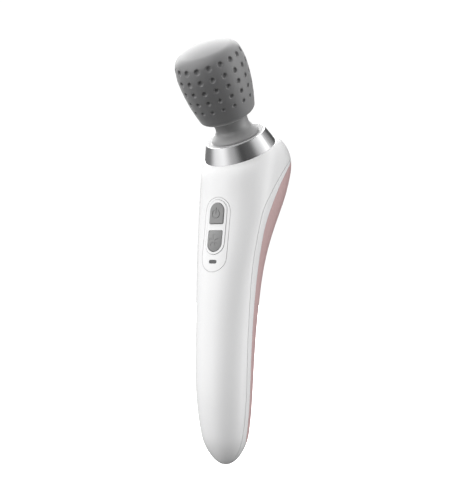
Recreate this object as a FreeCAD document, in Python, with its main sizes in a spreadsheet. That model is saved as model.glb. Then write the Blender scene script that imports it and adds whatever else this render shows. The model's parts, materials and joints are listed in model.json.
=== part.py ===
import FreeCAD, Part
import math
import os

import Sketcher
from FreeCAD import Placement, Rotation, Vector

# Handheld wand massager: a bent, rounded handle with a round head on a flexible neck.
# Millimetres. +Z runs up the handle, -Y is the front with the two buttons, X is the
# width. The origin is the middle of the mouth of the charging port at the bottom tip.

os.makedirs("parts", exist_ok=True)
doc = FreeCAD.newDocument("WandMassager")

# --------------------------------------------------------------------------------------
# Driving dimensions
# --------------------------------------------------------------------------------------
DIMENSIONS = [
    # the leaning axis that the collar, neck, motor and head share, from the collar's top
    ("axis_tilt", 29.3), ("collar_y", 12.0), ("collar_z", 239.7),
    # the head leans a little further, about the pivot of the flexible neck
    ("head_tilt", 33.3), ("pivot_height", 7.5),
    # handle shell
    ("front_wall", 2.4), ("rear_wall", 3.6), ("cover_wall", 1.5), ("cover_recess", 1.65),
    ("seam_gap", 0.4), ("tongue_depth", 1.5), ("tongue_inset", 1.1), ("rib_wall", 1.6),
    ("deck_opening", 24.6), ("cover_foot_z", 14.5),
    ("screw_boss", 3.0), ("rear_boss", 3.4), ("screw_pilot", 1.35), ("screw_bore", 2.6),
    ("low_screw_x", 9.5), ("low_screw_z", 19.5), ("mid_screw_x", 15.5), ("mid_screw_z", 91.0),
    ("top_screw_x", 20.5), ("top_screw_z", 178.0),
    # control panel, on a plane that leans back
    ("panel_tilt", 8.0), ("panel_y", -12.8), ("panel_z", 167.0), ("panel_wall", 1.4),
    ("panel_half_width", 10.7), ("panel_low", -27.5), ("panel_high", 26.6), ("panel_gap", 0.35),
    ("bezel_half_width", 8.2), ("bezel_low", -14.8), ("bezel_high", 24.9), ("bezel_proud", 0.25),
    ("bezel_gap", 0.4),
    ("button_half_width", 6.1), ("button_length", 15.2), ("button_corner", 0.9),
    ("power_low", 7.4), ("mode_low", -12.9), ("button_proud", 1.0), ("button_gap", 0.3),
    ("flange_grow", 0.8), ("flange_top", 3.5), ("flange_wall", 0.9), ("button_travel", 0.5),
    ("lens_y", -20.2), ("lens_half_width", 3.4), ("lens_half_height", 1.3),
    # electronics
    ("board_depth", 10.0), ("board_wall", 1.6), ("board_half_width", 13.5),
    ("board_low", -28.0), ("board_high", 27.5), ("board_screw_x", 11.3),
    ("board_screw_low", -25.2), ("board_screw_high", 24.7), ("board_boss", 2.3),
    ("switch_side", 6.0), ("switch_body", 3.3), ("switch_stem", 0.9), ("switch_stem_radius", 1.75),
    # cells
    ("cell_radius", 9.2), ("cell_length", 65.0), ("low_cell_y", -1.9), ("low_cell_z", 24.0),
    ("high_cell_y", 1.0), ("high_cell_z", 92.5), ("high_cell_tilt", 8.0), ("cell_clearance", 0.1),
    # charging port
    ("port_radius", 2.8), ("port_bezel_radius", 4.5), ("port_bezel_length", 7.0),
    ("port_flange_radius", 6.0), ("socket_side", 9.0), ("socket_length", 12.0), ("pin_radius", 1.05),
    # collar
    ("ring_top_radius", 22.7), ("ring_bottom_radius", 27.3), ("ring_height", 11.8),
    ("ring_edge", 0.8), ("collar_gap", 0.15), ("lip_hole", 16.9), ("lip_depth", 0.6),
    ("collar_skirt", 24.4),
    ("collar_depth", 16.9), ("collar_bore", 21.0),
    # neck
    ("neck_skirt", 18.0), ("neck_waist", 12.6), ("waist_height", 9.5), ("neck_wall", 1.5),
    ("neck_top", 14.3), ("neck_flange", 17.5), ("spring_radius", 9.6), ("spring_wire", 0.9),
    ("spring_pitch", 4.4),
    # head
    ("head_low", 16.6), ("head_mouth", 14.6), ("head_foot_radius", 17.6), ("head_side_low", 21.0),
    ("head_side_radius", 21.5), ("belly_radius", 26.05), ("belly_height", 53.5),
    ("shoulder_radius", 24.8), ("shoulder_height", 62.6), ("crown_edge_radius", 19.7),
    ("crown_edge_height", 69.6), ("head_top", 73.7), ("head_wall", 2.4), ("core_split", 43.0),
    ("dimples", 18), ("dimple_phase", 4.0), ("dimple_depth", 1.15),
    ("bearing_radius", 8.0), ("bearing_width", 5.0), ("shaft_radius", 2.5),
    ("weight_radius", 12.6), ("weight_low", 34.0), ("weight_length", 20.0), ("head_screw_ring", 15.9),
    # motor
    ("motor_radius", 13.85), ("motor_face", 19.45), ("motor_length", 30.0), ("mount_radius", 26.2),
    ("mount_face", 17.0), ("mount_wall", 2.4), ("motor_shaft", 1.5), ("armature_radius", 10.3),
]
# dimple rows: height on the axis, depth of the dimple's floor from the axis, dimple radius
DIMPLE_ROWS = [
    (30.0, 22.65, 1.5), (37.8, 23.9, 1.7), (45.8, 24.65, 1.85), (54.0, 24.85, 2.0), (62.4, 23.75, 2.1)]
# cross-sections of the handle: front point y, z, rear point y, z, half-width, how far
# back the widest place is, and the roundness of the front and rear halves (2 is a circle)
STATIONS = [
    (-3.6, 0.0, 3.6, 0.0, 3.6, 0.50, 2.0, 2.0),
    (-6.0, 1.3, 6.2, 1.3, 6.0, 0.50, 2.05, 2.1),
    (-10.9, 6.5, 10.6, 6.5, 10.9, 0.50, 2.1, 2.2),
    (-16.0, 16.0, 14.2, 16.0, 15.4, 0.50, 2.2, 2.4),
    (-19.4, 32.0, 16.2, 32.0, 18.3, 0.50, 2.2, 2.4),
    (-21.6, 60.0, 17.4, 60.0, 20.5, 0.50, 2.2, 2.4),
    (-20.9, 90.0, 19.7, 90.0, 21.4, 0.50, 2.2, 2.4),
    (-19.0, 120.0, 24.2, 120.0, 22.4, 0.48, 2.2, 2.4),
    (-16.1, 146.0, 30.8, 148.0, 24.2, 0.44, 2.2, 2.4),
    (-12.8, 167.0, 41.4, 172.0, 26.6, 0.40, 2.2, 2.4),
    (-10.3, 185.0, 53.3, 192.0, 28.6, 0.38, 2.2, 2.4),
    (-9.2, 200.0, 62.2, 210.3, 29.4, 0.38, 2.2, 2.4),
    (-8.5, 208.6, 64.4, 224.6, 29.7, 0.40, 2.2, 2.35),
    (-7.7, 212.6, 56.8, 237.0, 29.6, 0.45, 2.1, 2.2),
    (-6.82, 215.61, 42.37, 243.21, 28.2, 0.50, 2.0, 2.0),
]
STATION_FIELDS = (
    "front_y", "front_z", "rear_y", "rear_z", "half_width", "widest", "front_power", "rear_power")
# side view lines (y, z): where the two shell halves meet, and the rear cover's edge
SEAM = [(-2.5, -6.0), (-2.5, 55.0), (-2.4, 90.0), (-1.2, 115.0), (0.2, 143.0), (3.8, 167.5), (9.2, 187.0),
        (19.0, 200.5), (31.0, 213.0), (44.0, 222.2), (57.0, 228.0), (76.0, 233.5)]
COVER_EDGE = [(3.3, 19.5), (2.9, 45.0), (2.7, 76.0), (4.0, 105.0), (6.6, 135.0), (8.9, 156.0),
              (12.2, 174.0), (18.0, 187.5), (27.0, 201.5), (38.0, 213.5), (49.0, 221.3), (60.0, 225.8),
              (78.0, 230.5)]


def fill_sheet():
    page = doc.addObject("Spreadsheet::Sheet", "Dimensions")
    rows = [(alias, value) for alias, value in DIMENSIONS]
    for i, station in enumerate(STATIONS):
        rows += [("station%d_%s" % (i, f), v) for f, v in zip(STATION_FIELDS, station)]
    for i, row in enumerate(DIMPLE_ROWS):
        rows += [("row%d_%s" % (i, f), v) for f, v in zip(("height", "reach", "size"), row)]
    for name, line in (("seam", SEAM), ("edge", COVER_EDGE)):
        for i, (y, z) in enumerate(line):
            rows += [("%s%d_y" % (name, i), y), ("%s%d_z" % (name, i), z)]
    for n, (alias, value) in enumerate(rows, 1):
        page.set("A%d" % n, alias)
        page.set("B%d" % n, str(value))
        page.setAlias("B%d" % n, alias)
    doc.recompute()
    return page


sheet = fill_sheet()


def size(alias):
    return float(sheet.get(alias))


# A term is a number, the alias of a cell ("-alias" subtracts it), or a tuple that adds terms.
def number(term):
    if isinstance(term, tuple):
        return sum(number(t) for t in term)
    if isinstance(term, str):
        return -size(term[1:]) if term.startswith("-") else size(term)
    return float(term)


def formula(term):
    if isinstance(term, tuple):
        return "(" + " + ".join(formula(t) for t in term) + ")"
    if isinstance(term, str):
        return "(-<<Dimensions>>.%s)" % term[1:] if term.startswith("-") else "<<Dimensions>>." + term
    return "(%.6g)" % term


# --------------------------------------------------------------------------------------
# Frames
# --------------------------------------------------------------------------------------
AXIS = Placement(Vector(0, size("collar_y"), size("collar_z")),
                 Rotation(Vector(1, 0, 0), size("axis_tilt")))
HEAD = Placement(AXIS.multVec(Vector(0, 0, size("pivot_height"))),
                 Rotation(Vector(1, 0, 0), size("head_tilt")))
HEAD = HEAD.multiply(Placement(Vector(0, 0, -size("pivot_height")), Rotation()))
PANEL = Placement(Vector(0, size("panel_y"), size("panel_z")),
                  Rotation(Vector(1, 0, 0), 90 - size("panel_tilt")))
CELL = Placement(Vector(0, size("high_cell_y"), size("high_cell_z")),
                 Rotation(Vector(1, 0, 0), -size("high_cell_tilt")))
SUBPARTS = []


def keep(obj, name):
    obj.Label = name
    SUBPARTS.append(obj)
    return obj


# --------------------------------------------------------------------------------------
# Sketched bodies
# --------------------------------------------------------------------------------------
CROWN, HOLLOW = "crown", "hollow"


def origin_plane(body, role):
    return [f for f in body.Origin.OriginFeatures if f.Role == role][0]


def arc_between(a, b, radius):
    # positive radius: the centre is on the left of the way from a to b
    chord = b.sub(a)
    half = chord.Length / 2
    left = Vector(-chord.y, chord.x, 0).normalize()
    rise = math.sqrt(max(radius * radius - half * half, 0))
    centre = (a + b) * 0.5 + left * math.copysign(rise, radius)
    first, last = (a, b) if radius > 0 else (b, a)
    start = math.atan2(first.y - centre.y, first.x - centre.x)
    end = math.atan2(last.y - centre.y, last.x - centre.x)
    if end <= start:
        end += 2 * math.pi
    return Part.ArcOfCircle(Part.Circle(centre, Vector(0, 0, 1), abs(radius)), start, end)


def crown_radius(a, b, side):
    # radius of the arc between a and b whose centre lies on the axis; side as in arc_between
    tip, rim = (a, b) if abs(a.x) < abs(b.x) else (b, a)
    drop = tip.y - rim.y
    return side * (rim.x * rim.x + drop * drop) / (2 * abs(drop))


def add_outline(sketch, corners):
    # corners: (x, y) or (x, y, radius of the arc to the next corner); CROWN or HOLLOW in
    # place of the radius puts the arc's centre on the axis
    points = [Vector(number(c[0]), number(c[1]), 0) for c in corners]
    count = len(points)
    ids = []
    starts = []
    ends = []
    for i, corner in enumerate(corners):
        a, b = points[i], points[(i + 1) % count]
        if len(corner) == 3:
            on_axis = corner[2] in (CROWN, HOLLOW)
            radius = crown_radius(a, b, 1 if corner[2] == CROWN else -1) if on_axis else number(corner[2])
            ids.append(sketch.addGeometry(arc_between(a, b, radius)))
            starts.append(1 if radius > 0 else 2)
            ends.append(2 if radius > 0 else 1)
        else:
            ids.append(sketch.addGeometry(Part.LineSegment(a, b)))
            starts.append(1)
            ends.append(2)
    for i in range(count):
        k = (i + 1) % count
        sketch.addConstraint(Sketcher.Constraint("Coincident", ids[i], ends[i], ids[k], starts[k]))
    for i, corner in enumerate(corners):
        for kind, term, axis in (("DistanceX", corner[0], -2), ("DistanceY", corner[1], -1)):
            value = number(term)
            if abs(value) < 1e-9:
                sketch.addConstraint(Sketcher.Constraint("PointOnObject", ids[i], starts[i], axis))
            elif value > 0:
                c = sketch.addConstraint(Sketcher.Constraint(kind, -1, 1, ids[i], starts[i], value))
                sketch.setExpression("Constraints[%d]" % c, formula(term))
            else:
                c = sketch.addConstraint(Sketcher.Constraint(kind, ids[i], starts[i], -1, 1, -value))
                sketch.setExpression("Constraints[%d]" % c, "-1 * " + formula(term))
        if len(corner) == 3 and corner[2] in (CROWN, HOLLOW):
            sketch.addConstraint(Sketcher.Constraint("PointOnObject", ids[i], 3, -2))
        elif len(corner) == 3:
            radius = number(corner[2])
            c = sketch.addConstraint(Sketcher.Constraint("Radius", ids[i], abs(radius)))
            sign = "" if radius > 0 else "-1 * "
            sketch.setExpression("Constraints[%d]" % c, sign + formula(corner[2]))


def new_body(name, place=None):
    body = doc.addObject("PartDesign::Body", name)
    if place is not None:
        body.Placement = place
    return body


def new_sketch(body, name, role, height=0):
    sketch = body.newObject("Sketcher::SketchObject", name)
    sketch.AttachmentSupport = [(origin_plane(body, role), "")]
    sketch.MapMode = "FlatFace"
    if number(height):
        sketch.AttachmentOffset = Placement(Vector(0, 0, number(height)), Rotation())
        sketch.setExpression("AttachmentOffset.Base.z", formula(height))
    return sketch


def revolve(body, name, corners, kind="PartDesign::Revolution"):
    sketch = new_sketch(body, name + "_outline", "XZ_Plane")
    add_outline(sketch, corners)
    feature = body.newObject(kind, name)
    feature.Profile = sketch
    feature.ReferenceAxis = (sketch, ["V_Axis"])
    feature.Angle = 360
    return feature


def turned(name, corners, place=None):
    body = new_body(name, place)
    revolve(body, name + "_turned", corners)
    return body


def pad(body, name, corners, height, length):
    # from the given height towards the body's +Z
    sketch = new_sketch(body, name + "_outline", "XY_Plane", height)
    add_outline(sketch, corners)
    feature = body.newObject("PartDesign::Pad", name)
    feature.Profile = sketch
    feature.setExpression("Length", formula(length))
    return feature


def circle_cut(body, name, x, y, radius, height, depth):
    # a round hole from the given height towards the body's -Z
    sketch = new_sketch(body, name + "_outline", "XY_Plane", height)
    c = sketch.addGeometry(Part.Circle(Vector(number(x), number(y), 0), Vector(0, 0, 1), number(radius)))
    for kind, term, axis in (("DistanceX", x, -2), ("DistanceY", y, -1)):
        value = number(term)
        if abs(value) < 1e-9:
            sketch.addConstraint(Sketcher.Constraint("PointOnObject", c, 3, axis))
        elif value > 0:
            k = sketch.addConstraint(Sketcher.Constraint(kind, -1, 1, c, 3, value))
            sketch.setExpression("Constraints[%d]" % k, formula(term))
        else:
            k = sketch.addConstraint(Sketcher.Constraint(kind, c, 3, -1, 1, -value))
            sketch.setExpression("Constraints[%d]" % k, "-1 * " + formula(term))
    k = sketch.addConstraint(Sketcher.Constraint("Radius", c, number(radius)))
    sketch.setExpression("Constraints[%d]" % k, formula(radius))
    feature = body.newObject("PartDesign::Pocket", name)
    feature.Profile = sketch
    feature.setExpression("Length", formula(depth))
    return feature


def polar(body, name, features, count):
    pattern = body.newObject("PartDesign::PolarPattern", name)
    pattern.Originals = features
    pattern.Axis = (origin_axis(body, "Z_Axis"), [""])
    pattern.Angle = 360
    pattern.Occurrences = int(count)
    body.Tip = pattern
    return pattern


def origin_axis(body, role):
    return [f for f in body.Origin.OriginFeatures if f.Role == role][0]


def rectangle(x0, y0, x1, y1):
    return [(x0, y0), (x1, y0), (x1, y1), (x0, y1)]


def group(name, master, places):
    # identical pieces: linked copies of one body, kept together
    links = []
    for i, place in enumerate(places):
        link = doc.addObject("App::Link", "%s_%d" % (name, i + 1))
        link.LinkedObject = master
        link.LinkTransform = False
        link.Placement = place
        links.append(link)
    compound = doc.addObject("Part::Compound", name)
    compound.Links = links
    return keep(compound, name)


# --------------------------------------------------------------------------------------
# Head: silicone cover over a two-part core that carries the eccentric shaft
# --------------------------------------------------------------------------------------
def head_cover():
    wall = "-head_wall"
    body = turned("head_cover", [
        ("head_mouth", "head_low"),
        ("head_foot_radius", "head_low", 4.9),
        ("head_side_radius", "head_side_low", 119.7),
        ("belly_radius", "belly_height", 60.5),
        ("shoulder_radius", "shoulder_height", 13.5),
        ("crown_edge_radius", "crown_edge_height", CROWN),
        (0, "head_top"),
        (0, ("head_top", wall), HOLLOW),
        (("crown_edge_radius", -1.2), ("crown_edge_height", -2.1), -11.2),
        (("shoulder_radius", -2.3), ("shoulder_height", -0.6), -60.0),
        (("belly_radius", wall), "belly_height", -118.0),
        (("head_side_radius", -2.3), ("head_side_low", 0.8)),
        (("head_foot_radius", 0.4), ("head_low", 1.4)),
        ("head_mouth", ("head_low", 1.4)),
    ], HEAD)
    doc.recompute()
    plain = body.Shape.Volume
    for i in range(len(DIMPLE_ROWS)):
        # each dimple is the cap of a ball whose floor lies at the row's reach
        height, reach, radius = [size("row%d_%s" % (i, f)) for f in ("height", "reach", "size")]
        depth = size("dimple_depth")
        ball = (radius * radius + depth * depth) / (2 * depth)
        cut = body.newObject("PartDesign::SubtractiveSphere", "dimple%d" % i)
        cut.Radius = ball
        start = Rotation(Vector(0, 0, 1), size("dimple_phase"))
        cut.Placement = Placement(start.multVec(Vector(reach + ball, 0, height)), start)
        cut.setExpression("Radius", "(<<Dimensions>>.row{0}_size ^ 2 + <<Dimensions>>.dimple_depth ^ 2)"
                          " / (2 * <<Dimensions>>.dimple_depth)".format(i))
        polar(body, "dimples%d" % i, [cut], size("dimples"))
    doc.recompute()
    print("head cover: plain %.0f, dimpled %.0f mm3" % (plain, body.Shape.Volume))
    if body.Shape.Volume > plain - 90 * 3:
        raise RuntimeError("the dimples cut too little")
    return keep(body, "head_cover")


def head_core():
    inset = 0.1
    side = ("head_side_radius", -2.3, -inset)
    split_radius = ("belly_radius", "-head_wall", -0.52, -inset)
    lower = turned("head_core_lower", [
        (5.0, 15.0), (7.7, 15.0), (7.7, 20.3), (("head_foot_radius", 0.6), 20.3),
        (side, ("head_side_low", 1.1), 118.0),
        (split_radius, "core_split"), ((split_radius, -2.2), "core_split", -116.0),
        ((side, -2.2), 23.0), (10.5, 23.0), (10.5, 28.0), (8.03, 28.0), (8.03, 23.0), (5.0, 23.0),
    ], HEAD)
    circle_boss(lower, "boss", "head_screw_ring", 2.9, 22.5, 20.5, 3)
    screw_hole(lower, "screw_hole", 1.35, 43.5, 24.0)
    screw_hole(lower, "screw_well", 2.2, 33.0, 14.0)
    keep(lower, "head_core_lower")
    upper = turned("head_core_upper", [
        ((split_radius, -2.2), ("core_split", 0.1)), (split_radius, ("core_split", 0.1), 118.0),
        (("belly_radius", "-head_wall", -inset), "belly_height", 60.0),
        (("shoulder_radius", -2.3, -inset), ("shoulder_height", -0.6), 11.1),
        (("crown_edge_radius", -1.2, -inset), ("crown_edge_height", -2.2), CROWN),
        (0, ("head_top", "-head_wall", -inset)), (0, 66.2), (4.0, 66.2), (4.0, 65.2), (8.03, 65.2),
        (8.03, 60.0),
        (10.5, 60.0), (10.5, 67.4), (18.0, 64.6), (("belly_radius", "-head_wall", -3.2), 62.0),
        (("belly_radius", "-head_wall", -2.3), "belly_height", -60.0),
    ], HEAD)
    circle_boss(upper, "boss", "head_screw_ring", 2.9, 43.1, 22.0, 3)
    screw_hole(upper, "screw_hole", 1.35, 52.0, 12.0)
    keep(upper, "head_core_upper")


def circle_boss(body, name, ring, radius, height, length, count):
    sketch = new_sketch(body, name + "_outline", "XY_Plane", height)
    c = sketch.addGeometry(Part.Circle(Vector(number(ring), 0, 0), Vector(0, 0, 1), radius))
    sketch.addConstraint(Sketcher.Constraint("PointOnObject", c, 3, -1))
    k = sketch.addConstraint(Sketcher.Constraint("DistanceX", -1, 1, c, 3, number(ring)))
    sketch.setExpression("Constraints[%d]" % k, formula(ring))
    sketch.addConstraint(Sketcher.Constraint("Radius", c, radius))
    feature = body.newObject("PartDesign::Pad", name)
    feature.Profile = sketch
    feature.Length = length
    polar(body, name + "es", [feature], count)


def screw_hole(body, name, radius, height, depth):
    cut = circle_cut(body, name, "head_screw_ring", 0, radius, height, depth)
    polar(body, name + "s", [cut], 3)


def head_works():
    for name, low in (("head_bearing_lower", 23.05), ("head_bearing_upper", 60.1)):
        body = turned(name, [
            (2.54, low), (3.9, low), (3.9, low + 0.35), (6.8, low + 0.35), (6.8, low),
            ("bearing_radius", low), ("bearing_radius", (low, "bearing_width")),
            (6.8, (low, "bearing_width")), (6.8, (low - 0.35, "bearing_width")),
            (3.9, (low - 0.35, "bearing_width")), (3.9, (low, "bearing_width")),
            (2.54, (low, "bearing_width")),
        ], HEAD)
        keep(body, name)
    shaft = turned("eccentric_shaft", [
        (0, 16.6), (2.2, 16.6), ("shaft_radius", 16.9), ("shaft_radius", 65.0), (2.2, 65.3),
        (0, 65.3)], HEAD)
    keep(shaft, "eccentric_shaft")
    # the weight: a hub all round with a half disc of steel on one side
    weight = new_body("eccentric_weight", HEAD)
    sketch = new_sketch(weight, "half_disc_outline", "XY_Plane", "weight_low")
    add_outline(sketch, [("-weight_radius", 0, "weight_radius"), (0, "-weight_radius", "weight_radius"),
                         ("weight_radius", 0)])
    half = weight.newObject("PartDesign::Pad", "half_disc")
    half.Profile = sketch
    half.setExpression("Length", formula("weight_length"))
    hub = new_sketch(weight, "hub_outline", "XY_Plane", "weight_low")
    c = hub.addGeometry(Part.Circle(Vector(0, 0, 0), Vector(0, 0, 1), 5.6))
    hub.addConstraint(Sketcher.Constraint("Coincident", c, 3, -1, 1))
    hub.addConstraint(Sketcher.Constraint("Radius", c, 5.6))
    disc = weight.newObject("PartDesign::Pad", "hub")
    disc.Profile = hub
    disc.setExpression("Length", formula("weight_length"))
    circle_cut(weight, "hub_bore", 0, 0, ("shaft_radius", 0.01),
               ("weight_low", "weight_length"), "weight_length")
    keep(weight, "eccentric_weight")


# --------------------------------------------------------------------------------------
# Neck: silicone boot, coil spring, flexible coupling and their clamp
# --------------------------------------------------------------------------------------
def fuse(name, parts):
    joined = doc.addObject("Part::MultiFuse", name + "_joined")
    joined.Shapes = parts
    joined.Refine = False
    return joined


def neck():
    thin = "-neck_wall"
    # the boot is two turned sleeves that meet at the pivot
    low = turned("boot_low", [
        (14.6, -6.9), (20.0, -6.9), (20.0, -4.4), (("lip_hole", -0.1), -4.4),
        (("lip_hole", -0.1), ("-lip_depth", 0.05)),
        (("neck_skirt", -0.7), ("-lip_depth", 0.05), 0.7), ("neck_skirt", ("-lip_depth", 0.75), 2.2),
        (("neck_skirt", -0.6), ("-lip_depth", 2.25)), (14.3, 4.9, -5.8), (12.68, 8.5),
        (11.18, 8.5, 7.3), (13.2, 3.86), (14.6, 2.4),
    ], AXIS)
    high = turned("boot_high", [
        (12.95, 6.5, -13.1), ("neck_waist", "waist_height", -13.3),
        ("neck_top", 16.0), ("neck_top", 18.1), ("neck_flange", 18.1), ("neck_flange", 20.1), (12.4, 20.1),
        (12.4, 16.5, 19.5), (("neck_waist", thin), "waist_height", 13.1), (11.45, 6.5),
    ], HEAD)
    keep(fuse("neck_boot", [low, high]), "neck_boot")
    clamp = turned("neck_clamp", [
        (17.5, -16.9), (19.8, -16.9), (19.8, -6.95), (8.0, -6.95), (8.0, -9.3), (17.5, -9.3)], AXIS)
    keep(clamp, "neck_clamp")
    # the coupling has a ball between its two straight ends
    low = turned("coupling_low", [
        (1.52, -15.6), (3.5, -15.6), (3.5, -8.0), (2.9, -6.5), (2.9, 5.5), (3.5, 6.3), (3.5, 8.7), (2.9, 9.5),
        (0, 9.5), (0, 5.0), (1.2, 4.6), (1.2, -11.7), (1.52, -11.7)], AXIS)
    high = turned("coupling_high", [
        (0, 7.5), (2.7, 7.5), (2.7, 13.0), (3.5, 14.0), (3.5, 21.4), (2.52, 21.4), (2.52, 16.4),
        (1.2, 16.4), (1.2, 10.6), (0, 10.2)], HEAD)
    keep(fuse("drive_coupling", [low, high]), "drive_coupling")
    # the coil stands between the clamp and the core's foot
    wire = size("spring_wire")
    helix = doc.addObject("Part::Helix", "spring_line")
    helix.setExpression("Radius", formula("spring_radius"))
    helix.setExpression("Pitch", formula("spring_pitch"))
    helix.Height = 26.3 - 2 * wire - 0.1
    section = doc.addObject("Part::Circle", "spring_section")
    section.setExpression("Radius", formula("spring_wire"))
    section.Placement = Placement(Vector(size("spring_radius"), 0, 0), Rotation(Vector(1, 0, 0), 90))
    spring = doc.addObject("Part::Sweep", "neck_spring")
    spring.Sections = [section]
    spring.Spine = (helix, ["Edge1"])
    spring.Solid = True
    spring.Frenet = True
    spring.Placement = AXIS.multiply(Placement(Vector(0, 0, -6.9 + wire + 0.05), Rotation()))
    keep(spring, "neck_spring")


# --------------------------------------------------------------------------------------
# Collar: white base with the lip, and the bright cone over it
# --------------------------------------------------------------------------------------
def collar():
    ring = turned("collar_ring", [
        (("ring_bottom_radius", -1.3), ("-ring_height", 0.05)),
        ("ring_bottom_radius", ("-ring_height", 0.05)),
        ("ring_top_radius", -0.12), (("ring_top_radius", -0.12), 0),
        (("ring_top_radius", "-ring_edge"), 0)], AXIS)
    keep(ring, "collar_ring")
    inner_top = ("ring_top_radius", "-ring_edge", "-collar_gap")
    base = turned("collar_base", [
        ("collar_bore", "-collar_depth"), ("collar_skirt", "-collar_depth"),
        ("collar_skirt", ("-ring_height", 0.05)),
        (("ring_bottom_radius", -1.3, "-collar_gap"), ("-ring_height", 0.05)),
        (inner_top, 0), ((inner_top, -0.5), 0), (("neck_skirt", 0.6), "-lip_depth"),
        ("lip_hole", "-lip_depth"),
        ("lip_hole", -4.35), (20.05, -4.35), (20.05, -9.6), ("collar_bore", -11.0),
    ], AXIS)
    hole = circle_cut(base, "screw_hole", 22.7, 0, 1.0, ("-collar_depth", 6.0), 8.0)
    polar(base, "screw_holes", [hole], 3)
    keep(base, "collar_base")


# --------------------------------------------------------------------------------------
# Motor
# --------------------------------------------------------------------------------------
def motor():
    face = "-motor_face"
    mount = turned("motor_mount", [
        (5.1, ("-mount_face", "-mount_wall")), ("mount_radius", ("-mount_face", "-mount_wall")),
        ("mount_radius", -14.35), (("mount_radius", -1.5), -14.35), (("mount_radius", -1.5), "-mount_face"),
        (5.1, "-mount_face")], AXIS)
    a = circle_cut(mount, "collar_screw_hole", 22.7, 0, 1.15, ("-mount_face", 1.0), 6.0)
    polar(mount, "collar_screw_holes", [a], 3)
    b = circle_cut(mount, "motor_screw_hole", 8.0, 0, 1.6, ("-mount_face", 1.0), 6.0)
    polar(mount, "motor_screw_holes", [b], 2)
    keep(mount, "motor_mount")
    low = (face, "-motor_length")
    inner = ("motor_radius", -1.0)
    can = turned("motor_can", [
        ("motor_radius", low), ("motor_radius", (face, -0.8)), (("motor_radius", -0.8), face), (5.0, face),
        (5.0, (face, 2.2)), (1.54, (face, 2.2)), (1.54, (face, -1.0)), (inner, (face, -1.0)),
        (inner, low)], AXIS)
    c = circle_cut(can, "motor_thread", 8.0, 0, 1.3, (face, 1.0), 3.0)
    polar(can, "motor_threads", [c], 2)
    keep(can, "motor_can")
    magnets = new_body("motor_magnets", AXIS)
    magnets.AllowCompound = True
    outer, bore = 12.8, 10.8
    angle = math.radians(28)
    co, so = outer * math.cos(angle), outer * math.sin(angle)
    ci, si = bore * math.cos(angle), bore * math.sin(angle)
    arc = pad(magnets, "magnet", [(co, so, outer), (-co, so), (-ci, si, -bore), (ci, si)],
              (face, -24.0), 18.0)
    polar(magnets, "pair", [arc], 2)
    keep(magnets, "motor_magnets")
    rotor = turned("motor_rotor", [
        (0, -52.2), ("motor_shaft", -52.2), ("motor_shaft", -46.6), (4.2, -46.6), (4.2, -43.4),
        ("motor_shaft", -43.4), ("motor_shaft", -42.6), (7.5, -42.6), ("armature_radius", -41.4),
        ("armature_radius", -26.6), (7.5, -25.4), ("motor_shaft", -25.4), ("motor_shaft", -11.9),
        (0, -11.9)], AXIS)
    keep(rotor, "motor_rotor")
    cap = turned("motor_end_cap", [
        (1.53, -52.0), (4.0, -52.0), (4.0, -50.4), (("motor_radius", -1.1), -50.4),
        (("motor_radius", -1.1), -47.4), (1.53, -47.4)], AXIS)
    for side, label in ((1, "right"), (-1, "left")):
        x = 8.6 * side
        circle_cut(cap, "terminal_slot_" + label, x, 0, 1.1, -47.0, 5.0)
    keep(cap, "motor_end_cap")
    tab = new_body("terminal")
    pad(tab, "blade", rectangle(-0.3, -0.95, 0.3, 0.95), 0, 8.0)
    spots = [AXIS.multiply(Placement(Vector(x, 0, -54.5), Rotation())) for x in (8.6, -8.6)]
    group("motor_terminals", tab, spots)


# --------------------------------------------------------------------------------------
# Screws
# --------------------------------------------------------------------------------------
def screw(name, shank, length, head, head_height):
    # tip towards -Z, underside of the head at Z = 0, with a cross recess drawn as a round one
    return turned(name, [
        (0, -length), (shank * 0.6, -length), (shank, -length + shank), (shank, 0), (head, 0),
        (head, head_height * 0.55), (head * 0.7, head_height), (head * 0.35, head_height),
        (head * 0.2, head_height * 0.4), (0, head_height * 0.4)])


def screws():
    turns = [Rotation(Vector(0, 0, 1), k * 120) for k in range(3)]
    flip = Rotation(Vector(1, 0, 0), 180)
    ring = size("head_screw_ring")
    master = screw("head_screw", 1.3, 17.0, 2.1, 1.7)
    spots = [HEAD.multiply(Placement(t.multVec(Vector(ring, 0, 32.95)), flip)) for t in turns]
    group("head_screws", master, spots)
    master = screw("collar_screw", 0.95, 8.0, 1.8, 1.3)
    low = -size("mount_face") - size("mount_wall") - 0.05
    spots = [AXIS.multiply(Placement(t.multVec(Vector(22.7, 0, low)), flip)) for t in turns]
    group("collar_screws", master, spots)
    master = screw("motor_screw", 1.25, 4.6, 2.4, 1.5)
    high = -size("mount_face") + 0.05
    spots = [AXIS.multiply(Placement(Vector(x, 0, high), Rotation())) for x in (8.0, -8.0)]
    group("motor_screws", master, spots)
    master = screw("board_screw", 0.95, 6.5, 1.9, 1.4)
    back = -size("board_depth") - size("board_wall") - 0.05
    group("board_screws", master, [PANEL.multiply(Placement(Vector(x, y, back), flip))
                                   for x in (size("board_screw_x"), -size("board_screw_x"))
                                   for y in (size("board_screw_low"), size("board_screw_high"))])
    master = screw("housing_screw", 1.3, 9.4, 2.35, 1.9)
    rear = Rotation(Vector(1, 0, 0), -90)
    places = []
    for x, z in screw_points():
        places.append(Placement(Vector(x, seam_at(z) + 3.85, z), rear))
    group("housing_screws", master, places)


def screw_points():
    pairs = [(size(k + "_screw_x"), size(k + "_screw_z")) for k in ("low", "mid", "top")]
    return [(side * x, z) for x, z in pairs for side in (1, -1)]


# --------------------------------------------------------------------------------------
# Handle shell, lofted through the sections
# --------------------------------------------------------------------------------------
LAST = len(STATIONS) - 1
FOOT_SHARE = {0: 0.35, 1: 0.65, 2: 0.9}
FOOT_LIFT = {0: 1.0, 1: 0.75, 2: 0.45, 3: 0.2}
TOP_DROP = {LAST: 1.0, LAST - 1: 0.6, LAST - 2: 0.2}


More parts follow.
